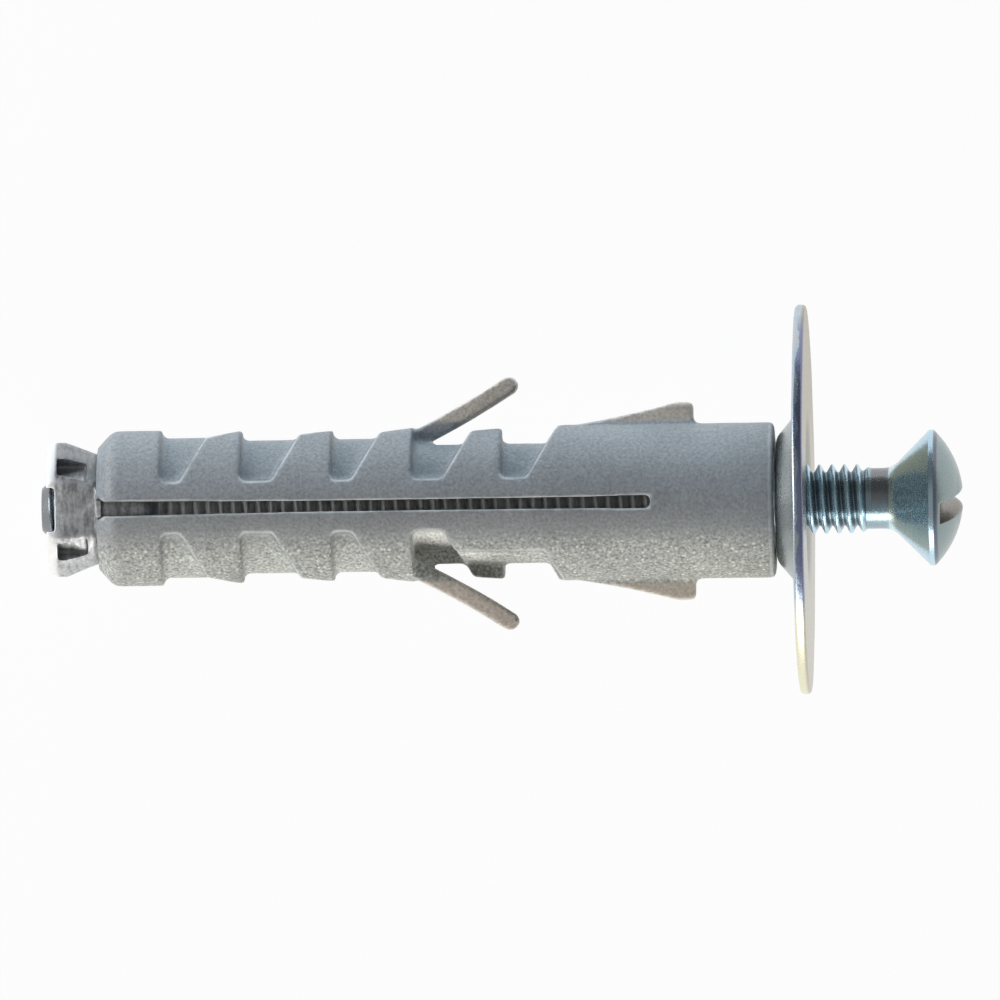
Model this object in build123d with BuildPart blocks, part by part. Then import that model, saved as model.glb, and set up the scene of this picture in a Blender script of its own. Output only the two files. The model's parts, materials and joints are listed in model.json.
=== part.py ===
from build123d import *
import os
from math import asin, atan2, cos, degrees, hypot, radians, sin, tan

# A wall plug with its screw: a slit nylon sleeve, a cast cone nut in its far end,
# a countersunk machine screw through both and a loose dished washer at the mouth.
# Sizes are in millimetres. The pieces are drawn along X, with the sleeve's mouth at
# the origin, the nut towards -X and the screw's head towards +X. At the end they are
# laid down as the plug lies on a table, on the washer's rim and the sleeve's end.

# Machine screw, M4 by 50, measured from its tip to the rim of its head
screw_length = 50.0
thread_diameter = 3.9
tip_diameter = 2.4
runout_length = 0.3
neck_diameter = 3.4
neck_length = 1.25
neck_fillet = 1.2
head_diameter = 7.6
head_cone_angle = 90.0
head_rim_height = 0.25
crown_height = 1.6
driver_slot_width = 1.2
driver_slot_depth = 1.25
driver_slot_turn = 16.0

# Expansion sleeve
sleeve_length = 38.0
sleeve_diameter = 8.75
sleeve_bore = 4.3
mouth_chamfer = 0.18
far_end_diameter = 6.8
far_end_chamfer = 0.9
far_end_round = 0.8

# Slot that splits the sleeve in two halves, open at the nut
slot_end_x = -6.9
slot_mouth_width = 0.78
slot_waist_x = -27.0
slot_waist_width = 0.58
slot_end_width = 0.67

# Pockets between the ratchet teeth, from the nut's end towards the mouth
pocket_walls = [3.7, 8.19, 13.26, 17.76, 22.78]
pocket_lengths = [1.05, 1.71, 1.1, 1.7, 1.38]
pocket_floor_diameters = [7.88, 7.52, 7.52, 6.76, 6.76]
tooth_start_diameters = [7.88, 8.1, 8.2, 8.25]
tooth_crest_diameters = [8.66, 8.5, 8.7, 8.5]
pocket_corner_round = 0.25
spine_width = 2.96
tooth_lean = 30.0

# Barbs, one in each half, and the channel that each folds into
barb_tooth = 3
barb_thickness = 1.05
barb_width = 1.8
barb_length = 6.9
barb_start_angle = 25.0
barb_bend_radius = 50.0
barb_root_diameter = 7.15
barb_root_depth = 0.7
channel_end_x = -12.9
channel_offset = 2.68
relief_diameter = 5.0

# Fins that stop the sleeve from turning in the wall
fin_start_x = -11.1
fin_peak_x = -5.5
fin_end_x = -4.5
fin_height = 1.2
fin_sag = 0.08
fin_thickness = 1.0
fin_corner_round = 0.3

# Cone nut
nut_diameter = 7.6
nut_standout = 2.8
nut_rim_width = 1.05
nut_rim_round = 0.5
nut_back_round = 0.35
nut_taper = 21.2
nut_nose_length = 2.95
nut_nose_taper = 12.0
nut_nose_chamfer = 0.25
nut_bore_clearance = 0.05
nut_seat_clearance = 0.1
flute_width = 1.15
flute_angle = 40.0
flute_floor_diameter = 6.0
flute_start = 0.7
flute_length = 1.6
nut_flat_height = 6.9
notch_width = 2.4
notch_depth = 0.5
key_width = 1.0
key_length = 0.65
key_insertion = 0.38
key_reach = 3.6
key_clearance = 0.06
tip_protrusion = 0.3

# Cup washer
washer_diameter = 21.8
washer_thickness = 0.6
washer_hole = 5.2
cup_diameter = 6.9
cup_depth = 1.19
cup_flank_angle = 50.0
cup_floor_bend = 0.8
cup_lip_bend = 0.7
washer_rim_chamfer = 0.15
washer_seat_gap = 0.02
washer_play = 0.05

# Radii and stations that follow from the sizes above
thread_radius = thread_diameter / 2
tip_radius = tip_diameter / 2
head_radius = head_diameter / 2
neck_radius = neck_diameter / 2
sleeve_radius = sleeve_diameter / 2
nut_radius = nut_diameter / 2
washer_radius = washer_diameter / 2
nut_face_x = -sleeve_length - nut_standout
tip_x = nut_face_x - tip_protrusion
head_x = tip_x + screw_length


# Machine screw: turned about X, with the driver slot cut across its crown
head_tan = tan(radians(head_cone_angle / 2))
head_cone_x = head_x - head_rim_height - (head_radius - neck_radius) / head_tan
neck_x = head_cone_x - neck_length
crown_x = head_x + crown_height
crown_radius = (head_radius**2 + crown_height**2) / (2 * crown_height)

with BuildPart() as machine_screw:
    with BuildSketch(Plane.XY):
        with BuildLine():
            FilletPolyline(
                (tip_x, 0),
                (tip_x, tip_radius),
                (tip_x + thread_radius - tip_radius, thread_radius),
                (neck_x - runout_length, thread_radius),
                (neck_x, neck_radius),
                (head_cone_x, neck_radius),
                (head_x - head_rim_height, head_radius),
                (head_x, head_radius),
                radius=[0, 0, 0, 0, neck_fillet, 0],
            )
            RadiusArc((head_x, head_radius), (crown_x, 0), crown_radius)
            Line((crown_x, 0), (tip_x, 0))
        make_face()
    revolve(axis=Axis.X)
    with BuildSketch(Plane.YZ.offset(crown_x - driver_slot_depth)):
        Rectangle(driver_slot_width, 2 * head_diameter, rotation=driver_slot_turn)
    extrude(amount=driver_slot_depth, mode=Mode.SUBTRACT)
machine_screw.part.label = "machine_screw"


# Cone nut: a turned body with keys, flutes, side flats and a notch across its face
nut_seat_radius = nut_radius - (nut_standout - nut_rim_width) * tan(radians(nut_taper))
nose_x = nut_nose_length - sleeve_length
nose_radius = nut_seat_radius - nut_nose_length * tan(radians(nut_nose_taper))
flat_half = nut_flat_height / 2
flute_depth = nut_radius - flute_floor_diameter / 2

with BuildPart() as cone_nut:
    with BuildSketch(Plane.XY):
        with BuildLine():
            FilletPolyline(
                (nut_face_x, 0),
                (nut_face_x, nut_radius),
                (nut_face_x + nut_rim_width, nut_radius),
                (-sleeve_length, nut_seat_radius),
                (nose_x - nut_nose_chamfer, nose_radius),
                (nose_x, nose_radius - nut_nose_chamfer),
                (nose_x, 0),
                radius=[nut_rim_round, nut_back_round, 0, 0, 0],
            )
            Line((nose_x, 0), (nut_face_x, 0))
        make_face()
    revolve(axis=Axis.X)
    # keys that stand in the sleeve's slot
    with BuildSketch(Plane.YZ.offset(key_insertion - sleeve_length)):
        Rectangle(key_width, 2 * key_reach)
    extrude(amount=-key_length)
    # flutes beside the upper and lower lobes
    with BuildSketch(Plane.YZ.offset(nut_face_x + flute_start)):
        for lean in (-flute_angle, flute_angle):
            with PolarLocations(nut_radius, 2, start_angle=90 + lean):
                Rectangle(2 * flute_depth, flute_width)
    extrude(amount=flute_length, mode=Mode.SUBTRACT)
    # flats towards the slot, and the notch across the face
    with BuildSketch(Plane.XZ):
        for side in (-1, 1):
            with BuildLine():
                Polyline(
                    (nut_face_x, side * flat_half),
                    (nut_face_x + nut_rim_width, side * flat_half),
                    (-sleeve_length, side * (flat_half - nut_radius + nut_seat_radius)),
                    (-sleeve_length, side * nut_radius),
                    (nut_face_x, side * nut_radius),
                    close=True,
                )
            make_face()
    extrude(amount=nut_radius, both=True, mode=Mode.SUBTRACT)
    with BuildSketch(Plane.YZ.offset(nut_face_x)):
        Rectangle(notch_width, nut_diameter)
    extrude(amount=notch_depth, mode=Mode.SUBTRACT)
    with BuildSketch(Plane.YZ.offset(nut_face_x)):
        Circle(thread_radius + nut_bore_clearance)
    extrude(amount=nose_x - nut_face_x, mode=Mode.SUBTRACT)
cone_nut.part.label = "cone_nut"


# Cup washer: one sheet, dished in the middle. The screw lies on the lower edge of its
# wide hole, so the washer's middle stands above the screw's axis.
disc_x = washer_seat_gap + cup_depth
cup_radius = cup_diameter / 2
cup_lip_radius = cup_radius + cup_depth * tan(radians(cup_flank_angle))
washer_lift = (washer_hole - thread_diameter) / 2 - washer_play

with BuildPart() as cup_washer:
    with BuildSketch(Plane.XY.offset(washer_lift)):
        with BuildLine():
            FilletPolyline(
                (washer_seat_gap, washer_hole / 2),
                (washer_seat_gap, cup_radius),
                (disc_x, cup_lip_radius),
                (disc_x, washer_radius),
                radius=[cup_floor_bend, cup_lip_bend],
            )
            offset(amount=washer_thickness, side=Side.RIGHT)
        make_face()
        chamfer(vertices().group_by(Axis.Y)[-1], washer_rim_chamfer)
    revolve(axis=Axis((0, 0, washer_lift), (1, 0, 0)))
cup_washer.part.label = "cup_washer"


# The two sides of the mould, which meet in the XY plane
mould_sides = (Plane.XY, Plane(origin=(0, 0, 0), x_dir=(1, 0, 0), z_dir=(0, 0, -1)))
outside = sleeve_radius + 1
spine = spine_width / 2
lean = tan(radians(tooth_lean))


def pocket_outline(number, side):
    """Closed outline of one pocket with the ramp of the tooth behind it."""
    wall_x = pocket_walls[number] - sleeve_length
    foot_x = wall_x + pocket_lengths[number]
    corners = [(wall_x, spine), (foot_x, spine)]
    if number + 1 < len(pocket_walls):
        next_x = pocket_walls[number + 1] - sleeve_length
        tooth_radius = tooth_start_diameters[number] / 2
        corners += [
            (foot_x + (tooth_radius - spine) * lean, tooth_radius),
            (next_x, tooth_crest_diameters[number] / 2),
            (next_x, outside),
        ]
    else:
        corners += [(foot_x + (outside - spine) * lean, outside)]
    corners += [(wall_x, outside)]
    rounds = [pocket_corner_round, pocket_corner_round] + [0] * (len(corners) - 2)
    return FilletPolyline(*[(x, side * y) for x, y in corners], radius=rounds, close=True)


# Relief under each barb's root, in the pocket that the barb grows from
barb_wall_x = pocket_walls[barb_tooth] - sleeve_length
barb_foot_x = barb_wall_x + pocket_lengths[barb_tooth]

with BuildPart() as barb_relief:
    with BuildSketch(*mould_sides):
        with BuildLine():
            FilletPolyline(
                (barb_wall_x, -spine),
                (barb_foot_x, -spine),
                (barb_foot_x + (outside - spine) * lean, -outside),
                (barb_wall_x, -outside),
                radius=[pocket_corner_round, pocket_corner_round, 0, 0],
                close=True,
            )
        make_face()
    extrude(amount=sleeve_radius)
    with BuildSketch(Plane.YZ.offset(barb_wall_x)):
        Circle(relief_diameter / 2)
    extrude(amount=sleeve_length, mode=Mode.SUBTRACT)


# Expansion sleeve: each side of the mould forms one half, and the halves are alike
body_x = pocket_walls[-1] + pocket_lengths[-1] - sleeve_length

with BuildPart() as expansion_sleeve:
    with BuildSketch(*mould_sides):
        with Locations((-sleeve_length / 2, 0)):
            Rectangle(sleeve_length, 2 * sleeve_radius)
        for number in range(len(pocket_walls)):
            with BuildLine():
                pocket_outline(number, 1)
            make_face(mode=Mode.SUBTRACT)
        for number in range(barb_tooth):
            with BuildLine():
                pocket_outline(number, -1)
            make_face(mode=Mode.SUBTRACT)
        # the barb's pocket runs on as the channel that the barb folds into
        with BuildLine():
            FilletPolyline(
                (barb_wall_x, -spine),
                (barb_foot_x, -spine),
                (barb_foot_x + (channel_offset - spine) * lean, -channel_offset),
                (channel_end_x, -channel_offset),
                (channel_end_x + (outside - channel_offset) * lean, -outside),
                (barb_wall_x, -outside),
                radius=[pocket_corner_round, pocket_corner_round, 0, pocket_corner_round, 0, 0],
                close=True,
            )
        make_face(mode=Mode.SUBTRACT)
    extrude(amount=sleeve_radius)
    with BuildSketch(Plane.XY):
        with BuildLine():
            FilletPolyline(
                (-sleeve_length, 0),
                (-sleeve_length, far_end_diameter / 2),
                (-sleeve_length + far_end_chamfer, sleeve_radius),
                (-mouth_chamfer, sleeve_radius),
                (0, sleeve_radius - mouth_chamfer),
                (0, 0),
                radius=[0, far_end_round, 0, 0],
            )
            Line((0, 0), (-sleeve_length, 0))
        make_face()
    revolve(axis=Axis.X, mode=Mode.INTERSECT)
    # floors of the pockets, the last one as far as its leaning wall reaches
    floor_ends = [wall - sleeve_length for wall in pocket_walls[1:]] + [body_x + (outside - spine) * lean]
    for wall, end_x, diameter in zip(pocket_walls, floor_ends, pocket_floor_diameters):
        with BuildSketch(Plane.YZ.offset(wall - sleeve_length)):
            Circle(diameter / 2)
        extrude(amount=end_x - wall + sleeve_length)
    add(barb_relief.part, mode=Mode.SUBTRACT)
    # fins in the parting plane
    with BuildSketch(Plane.XY):
        with BuildLine():
            fin_top = sleeve_radius + fin_height
            fin_middle_x = (fin_start_x + fin_peak_x) / 2
            fin_middle = (sleeve_radius + fin_top) / 2 - fin_sag
            ThreePointArc((fin_start_x, sleeve_radius), (fin_middle_x, fin_middle), (fin_peak_x, fin_top))
            FilletPolyline(
                (fin_peak_x, fin_top),
                (fin_end_x, fin_top),
                (fin_end_x, channel_offset),
                (fin_start_x, channel_offset),
                (fin_start_x, sleeve_radius),
                radius=[fin_corner_round, 0, 0],
            )
        make_face()
        mirror(about=Plane.XZ)
    extrude(amount=fin_thickness / 2, both=True)
    # barbs, each grown from the wall of its tooth
    barb_tan = tan(radians(barb_start_angle))
    with BuildSketch(*mould_sides):
        with BuildLine(mode=Mode.PRIVATE) as barb_line:
            JernArc(
                start=(barb_wall_x - barb_root_depth, barb_root_depth * barb_tan - barb_root_diameter / 2),
                tangent=(1, -barb_tan),
                radius=barb_bend_radius,
                arc_size=-degrees(barb_length / barb_bend_radius),
            )
        SlotArc(barb_line.edges()[0], barb_thickness)
    extrude(amount=barb_width)
    # bore, with the seat for the nut's nose
    with BuildSketch(Plane.XY):
        with BuildLine():
            socket_radius = nose_radius + nut_seat_clearance
            socket_end_x = nose_x + nut_nose_chamfer
            Polyline(
                (-sleeve_length, 0),
                (-sleeve_length, nut_seat_radius + nut_seat_clearance),
                (nose_x, socket_radius),
                (socket_end_x, socket_radius),
                (socket_end_x + socket_radius - sleeve_bore / 2, sleeve_bore / 2),
                (0, sleeve_bore / 2),
                (0, 0),
                close=True,
            )
        make_face()
    revolve(axis=Axis.X, mode=Mode.SUBTRACT)
    # slot through both sides, a little wider at the nut where the sleeve is splayed
    with BuildSketch(Plane.XY):
        with BuildLine():
            for side in (-1, 1):
                ThreePointArc(
                    (-sleeve_length, side * slot_mouth_width / 2),
                    (slot_waist_x, side * slot_waist_width / 2),
                    (slot_end_x, side * slot_end_width / 2),
                )
            Line((slot_end_x, -slot_end_width / 2), (slot_end_x, slot_end_width / 2))
            Line((-sleeve_length, -slot_mouth_width / 2), (-sleeve_length, slot_mouth_width / 2))
        make_face()
        with Locations((-sleeve_length, 0)):
            Rectangle(2 * key_insertion + 2 * key_clearance, key_width + 2 * key_clearance)
    extrude(amount=sleeve_radius, both=True, mode=Mode.SUBTRACT)
expansion_sleeve.part.label = "expansion_sleeve"


# Lie the plug down on the sleeve's end and the washer's rim
sleeve_rest_x = far_end_chamfer - sleeve_length + far_end_round * tan(
    atan2(sleeve_radius - far_end_diameter / 2, far_end_chamfer) / 2
)
washer_rest_x = disc_x + washer_rim_chamfer
washer_drop = washer_radius - washer_lift
rest_run = washer_rest_x - sleeve_rest_x
rest_rise = washer_drop - sleeve_radius + far_end_round
tilt = atan2(rest_rise, rest_run) - asin(far_end_round / hypot(rest_run, rest_rise))
mouth_height = washer_drop * cos(tilt) - washer_rest_x * sin(tilt)
lying = Plane(
    origin=(0, 0, mouth_height),
    x_dir=(cos(tilt), 0, sin(tilt)),
    z_dir=(-sin(tilt), 0, cos(tilt)),
)
pieces = [expansion_sleeve.part, cone_nut.part, machine_screw.part, cup_washer.part]
for piece in pieces:
    piece.move(lying.location)

# Centre the plug over the origin
middle = Compound(pieces).bounding_box().center()
mouth_x = -middle.X
for piece in pieces:
    piece.move(Location((mouth_x, 0, 0)))

os.makedirs("parts", exist_ok=True)
export_step(expansion_sleeve.part, "parts/expansion_sleeve.step")
export_step(cone_nut.part, "parts/cone_nut.step")
export_step(machine_screw.part, "parts/machine_screw.step")
export_step(cup_washer.part, "parts/cup_washer.step")
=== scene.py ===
import json
from math import atan2, cos, pi, radians, sin, tan

import bmesh
import bpy
from mathutils import Matrix, Vector
from mathutils.kdtree import KDTree


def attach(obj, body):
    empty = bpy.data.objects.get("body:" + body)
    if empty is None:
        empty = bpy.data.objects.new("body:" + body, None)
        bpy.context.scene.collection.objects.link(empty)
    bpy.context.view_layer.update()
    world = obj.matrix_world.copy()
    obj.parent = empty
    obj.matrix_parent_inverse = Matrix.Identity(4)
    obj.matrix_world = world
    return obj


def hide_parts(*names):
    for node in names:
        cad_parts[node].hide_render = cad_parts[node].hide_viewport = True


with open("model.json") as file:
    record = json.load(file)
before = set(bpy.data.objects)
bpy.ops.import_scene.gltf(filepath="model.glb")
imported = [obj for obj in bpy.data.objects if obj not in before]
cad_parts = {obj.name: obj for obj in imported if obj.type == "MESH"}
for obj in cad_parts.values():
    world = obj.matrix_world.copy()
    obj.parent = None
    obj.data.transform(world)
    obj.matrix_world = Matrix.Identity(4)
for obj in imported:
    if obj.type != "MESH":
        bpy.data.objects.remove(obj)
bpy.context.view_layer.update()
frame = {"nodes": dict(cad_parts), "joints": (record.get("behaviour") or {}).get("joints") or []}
scene = bpy.context.scene
print("frame loaded")

# The plug lies aslant on the floor. Its own frame has X along the screw, Z up and its
# origin in the sleeve's mouth. Pieces are made there in millimetres, then laid down.
screwJoint = next(joint for joint in frame["joints"] if joint["name"] == "screw_turn")
mouthPoint = Vector(screwJoint["pos_m"])
alongPlug = Vector(screwJoint["axis"]).normalized()
acrossPlug = Vector((0, 1, 0))
abovePlug = alongPlug.cross(acrossPlug)
lieAngle = atan2(alongPlug.z, alongPlug.x)
plugTurn = Matrix((alongPlug, acrossPlug, abovePlug)).transposed().to_4x4()
layDown = Matrix.Translation(mouthPoint) @ plugTurn @ Matrix.Scale(0.001, 4)
standUp = layDown.inverted()


# each feed is a value for the input, or the output that it is linked to
def fillNode(tree, node, feeds):
    for key, value in feeds.items():
        if isinstance(value, bpy.types.NodeSocket):
            tree.links.new(value, node.inputs[key])
        else:
            node.inputs[key].default_value = value
    return node


def addNode(tree, kind, feeds=None, **settings):
    node = tree.nodes.new(kind)
    for key, value in settings.items():
        setattr(node, key, value)
    return fillNode(tree, node, feeds or {})


def useGroup(tree, group, feeds):
    node = tree.nodes.new("ShaderNodeGroup")
    node.node_tree = group
    return fillNode(tree, node, feeds).outputs


def maths(tree, operation, first, second=0.0, clamp=False):
    node = addNode(tree, "ShaderNodeMath", {0: first, 1: second}, operation=operation, use_clamp=clamp)
    return node.outputs[0]


def product(tree, first, *others):
    for other in others:
        first = maths(tree, "MULTIPLY", first, other)
    return first


def spread(tree, value, fromLow, fromHigh, toLow=0.0, toHigh=1.0, smooth=True):
    kind = "SMOOTHSTEP" if smooth else "LINEAR"
    feeds = {
        "Value": value,
        "From Min": fromLow,
        "From Max": fromHigh,
        "To Min": toLow,
        "To Max": toHigh,
    }
    return addNode(tree, "ShaderNodeMapRange", feeds, interpolation_type=kind).outputs["Result"]


def band(tree, value, start, full, fullEnd, end):
    # rises from start to full, and falls again from fullEnd to end
    return product(tree, spread(tree, value, start, full), spread(tree, value, end, fullEnd))


def mixColour(tree, share, first, second, blend="MIX"):
    feeds = {0: share, 6: first, 7: second}
    return addNode(tree, "ShaderNodeMix", feeds, data_type="RGBA", blend_type=blend).outputs[2]


def painted(tree, under, colour, *masks):
    # a colour over what is under it, as strongly as all its masks let it be
    return mixColour(tree, product(tree, *masks), under, colour)


def noise(tree, place, size, detail=2.0, roughness=0.55, distortion=0.0):
    # size is about the width of one patch, in millimetres
    scale = maths(tree, "DIVIDE", 1.0, size) if isinstance(size, bpy.types.NodeSocket) else 1.0 / size
    feeds = {
        "Vector": place,
        "Scale": scale,
        "Detail": detail,
        "Roughness": roughness,
        "Distortion": distortion,
    }
    return addNode(tree, "ShaderNodeTexNoise", feeds).outputs[0]


def bumped(tree, height, strength, distance):
    feeds = {"Height": height, "Strength": strength, "Distance": distance}
    return addNode(tree, "ShaderNodeBump", feeds).outputs[0]


def newGroup(name, inputs, outputs, kind="ShaderNodeTree"):
    group = bpy.data.node_groups.new(name, kind)
    for label, socketKind, value in inputs:
        socket = group.interface.new_socket(label, in_out="INPUT", socket_type=socketKind)
        if value is not None:
            socket.default_value = value
    for label, socketKind in outputs:
        group.interface.new_socket(label, in_out="OUTPUT", socket_type=socketKind)
    return group, group.nodes.new("NodeGroupInput").outputs, group.nodes.new("NodeGroupOutput").inputs


# shader groups that the finishes share

def makePlugPlace():
    # Object coordinates turned into the plug's own frame, in millimetres
    outputs = [
        ("Place", "NodeSocketVector"),
        ("Along", "NodeSocketFloat"),
        ("Side", "NodeSocketFloat"),
        ("Radius", "NodeSocketFloat"),
    ]
    group, _, result = newGroup("plugPlace", [], outputs)
    feeds = {
        "Vector": addNode(group, "ShaderNodeTexCoord").outputs["Object"],
        "Location": mouthPoint,
        "Rotation": (0, -lieAngle, 0),
        "Scale": (0.001, 0.001, 0.001),
    }
    turned = addNode(group, "ShaderNodeMapping", feeds, vector_type="TEXTURE").outputs[0]
    parts = addNode(group, "ShaderNodeSeparateXYZ", {0: turned}).outputs
    across = product(group, parts["Y"], parts["Y"])
    above = product(group, parts["Z"], parts["Z"])
    group.links.new(turned, result["Place"])
    group.links.new(parts["X"], result["Along"])
    group.links.new(parts["Y"], result["Side"])
    group.links.new(maths(group, "SQRT", maths(group, "ADD", across, above)), result["Radius"])
    return group


grainShape = {
    "grainRange": (0.28, 0.72),
    "speckReach": (0.25, 0.7),
    "speckTop": 0.08,
    "speckStrength": (0.35, 1.0),
    "speckHeight": 0.5,
}


def makeGrain():
    # a moulded or cast skin: fine rolling grain with raised specks close together
    inputs = [
        ("Vector", "NodeSocketVector", None),
        ("Grain Size", "NodeSocketFloat", 0.15),
        ("Speck Size", "NodeSocketFloat", 0.24),
        ("Speck Share", "NodeSocketFloat", 0.7),
    ]
    outputs = [
        ("Grain", "NodeSocketFloat"),
        ("Specks", "NodeSocketFloat"),
        ("Height", "NodeSocketFloat"),
    ]
    group, given, result = newGroup("skinGrain", inputs, outputs)
    grain = noise(group, given["Vector"], given["Grain Size"])
    feeds = {"Vector": given["Vector"], "Scale": maths(group, "DIVIDE", 1.0, given["Speck Size"])}
    cells = addNode(group, "ShaderNodeTexVoronoi", feeds, feature="F1").outputs
    # each cell's random colour decides whether it has a speck, how wide and how strong
    lottery = addNode(group, "ShaderNodeSeparateColor", {0: cells["Color"]}).outputs
    chosen = maths(group, "LESS_THAN", lottery[0], given["Speck Share"])
    reach = spread(group, lottery[1], 0.0, 1.0, *grainShape["speckReach"], smooth=False)
    strength = spread(group, lottery[2], 0.0, 1.0, *grainShape["speckStrength"], smooth=False)
    raised = spread(group, cells["Distance"], reach, grainShape["speckTop"])
    specks = product(group, raised, chosen, strength)
    height = maths(group, "ADD", grain, product(group, specks, grainShape["speckHeight"]))
    group.links.new(spread(group, grain, *grainShape["grainRange"], smooth=False), result["Grain"])
    group.links.new(specks, result["Specks"])
    group.links.new(height, result["Height"])
    return group


def makeEdgeWear():
    # where a turned or rolled surface bends out sharply
    inputs = [("Edge Start", "NodeSocketFloat", 0.515), ("Edge Full", "NodeSocketFloat", 0.56)]
    group, given, result = newGroup("edgeWear", inputs, [("Edges", "NodeSocketFloat")])
    point = addNode(group, "ShaderNodeNewGeometry").outputs["Pointiness"]
    group.links.new(spread(group, point, given["Edge Start"], given["Edge Full"]), result["Edges"])
    return group


edgeShape = {
    "unevenSize": 1.1,
    "unevenWidth": (0.6, 1.25),
    "fullShare": 0.3,
    "leastAngle": 22.0,
    "spacing": 0.08,
}


def makeEdgeLines():
    # painted highlights along outer edges and painted shade in inner corners, from the distances that the
    # mesh keeps, unevenly wide
    inputs = [
        ("Vector", "NodeSocketVector", None),
        ("Edge Width", "NodeSocketFloat", 0.18),
        ("Corner Width", "NodeSocketFloat", 0.15),
    ]
    outputs = [("Edges", "NodeSocketFloat"), ("Corners", "NodeSocketFloat")]
    group, given, result = newGroup("edgeLines", inputs, outputs)
    waver = noise(group, given["Vector"], edgeShape["unevenSize"])
    uneven = spread(group, waver, 0.3, 0.7, *edgeShape["unevenWidth"], smooth=False)
    kinds = [("outerEdge", "Edge Width", "Edges"), ("innerCorner", "Corner Width", "Corners")]
    for label, width, output in kinds:
        away = addNode(group, "ShaderNodeAttribute", attribute_name=label).outputs["Fac"]
        reach = product(group, given[width], uneven)
        full = product(group, reach, edgeShape["fullShare"])
        group.links.new(spread(group, away, reach, full), result[output])
    return group


platingShape = {
    "stops": [
        (0.3, (0.3, 0.42, 0.66, 1)),
        (0.45, (0.46, 0.58, 0.64, 1)),
        (0.58, (0.6, 0.64, 0.6, 1)),
        (0.7, (0.66, 0.6, 0.48, 1)),
    ],
    "fineSize": 0.12,
    "dullest": 0.62,
    "smoothnessEffect": 0.6,
    "unevenRoughness": (-0.05, 0.08),
    "patchHeight": 2.0,
    "fineHeight": 0.25,
}


def makePlating():
    # passivated zinc: a cool grey with patches of blue and straw
    inputs = [
        ("Vector", "NodeSocketVector", None),
        ("Patch Size", "NodeSocketFloat", 3.0),
        ("Tint Strength", "NodeSocketFloat", 0.5),
        ("Base", "NodeSocketColor", (0.6, 0.66, 0.72, 1)),
        ("Smoothness", "NodeSocketFloat", 0.5),
    ]
    outputs = [
        ("Color", "NodeSocketColor"),
        ("Roughness", "NodeSocketFloat"),
        ("Height", "NodeSocketFloat"),
    ]
    group, given, result = newGroup("zincPlating", inputs, outputs)
    patches = noise(group, given["Vector"], given["Patch Size"], 3.0, 0.6, 0.4)
    ramp = addNode(group, "ShaderNodeValToRGB", {0: patches})
    stops = platingShape["stops"]
    ramp.color_ramp.elements.remove(ramp.color_ramp.elements[0])
    ramp.color_ramp.elements[0].position = stops[-1][0]
    ramp.color_ramp.elements[0].color = stops[-1][1]
    for position, colour in stops[:-1]:
        ramp.color_ramp.elements.new(position).color = colour
    tinted = mixColour(group, given["Tint Strength"], given["Base"], ramp.outputs["Color"])
    fine = noise(group, given["Vector"], platingShape["fineSize"])
    smoothed = product(group, given["Smoothness"], platingShape["smoothnessEffect"])
    dull = maths(group, "SUBTRACT", platingShape["dullest"], smoothed)
    uneven = spread(group, fine, 0.3, 0.75, *platingShape["unevenRoughness"], smooth=False)
    broadHeight = product(group, patches, platingShape["patchHeight"])
    height = maths(group, "ADD", broadHeight, product(group, fine, platingShape["fineHeight"]))
    group.links.new(tinted, result["Color"])
    group.links.new(maths(group, "ADD", dull, uneven), result["Roughness"])
    group.links.new(height, result["Height"])
    return group


plugPlace = makePlugPlace()
skinGrain = makeGrain()
edgeWear = makeEdgeWear()
edgeLines = makeEdgeLines()
zincPlating = makePlating()
print("shader groups made")


def newMaterial(name):
    material = bpy.data.materials.new(name)
    material.use_nodes = True
    tree = material.node_tree
    return material, tree, tree.nodes["Principled BSDF"].inputs, useGroup(tree, plugPlace, {})


# Geometry Nodes: a gentle unevenness for moulded, cast and pressed pieces, and the thread

def newGeometryTree(name, inputs):
    inputs = [("Geometry", "NodeSocketGeometry", None), *inputs, ("Material", "NodeSocketMaterial", None)]
    return newGroup(name, inputs, [("Geometry", "NodeSocketGeometry")], "GeometryNodeTree")


def endGeometryTree(tree, geometry, material, result):
    real = addNode(tree, "GeometryNodeRealizeInstances", {0: geometry}).outputs[0]
    feeds = {"Geometry": real, "Material": material}
    tree.links.new(addNode(tree, "GeometryNodeSetMaterial", feeds).outputs[0], result[0])


def vectorMaths(tree, operation, feeds):
    return addNode(tree, "ShaderNodeVectorMath", feeds, operation=operation).outputs[0]


def makeUnevenness():
    # moves a surface by a smooth noise, inwards along its normals or along a given push
    inputs = [
        ("Depth", "NodeSocketFloat", 0.02),
        ("Size", "NodeSocketFloat", 3.0),
        ("Push", "NodeSocketVector", (0, 0, 0)),
        ("Follow Normal", "NodeSocketFloat", 1.0),
        ("Seed", "NodeSocketFloat", 3.0),
    ]
    tree, given, result = newGeometryTree("unevenSurface", inputs)
    feeds = {
        "Vector": addNode(tree, "GeometryNodeInputPosition").outputs[0],
        "W": given["Seed"],
        "Scale": maths(tree, "DIVIDE", 1.0, given["Size"]),
        "Detail": 1.0,
    }
    rolling = addNode(tree, "ShaderNodeTexNoise", feeds, noise_dimensions="4D").outputs[0]
    depth = product(tree, rolling, given["Depth"])
    normal = addNode(tree, "GeometryNodeInputNormal").outputs[0]
    inwards = product(tree, given["Follow Normal"], -1.0)
    inward = vectorMaths(tree, "SCALE", {0: normal, "Scale": inwards})
    way = vectorMaths(tree, "ADD", {0: inward, 1: given["Push"]})
    shift = vectorMaths(tree, "SCALE", {0: way, "Scale": depth})
    feeds = {"Geometry": given["Geometry"], "Offset": shift}
    moved = addNode(tree, "GeometryNodeSetPosition", feeds).outputs[0]
    endGeometryTree(tree, moved, given["Material"], result)
    return tree


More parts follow.
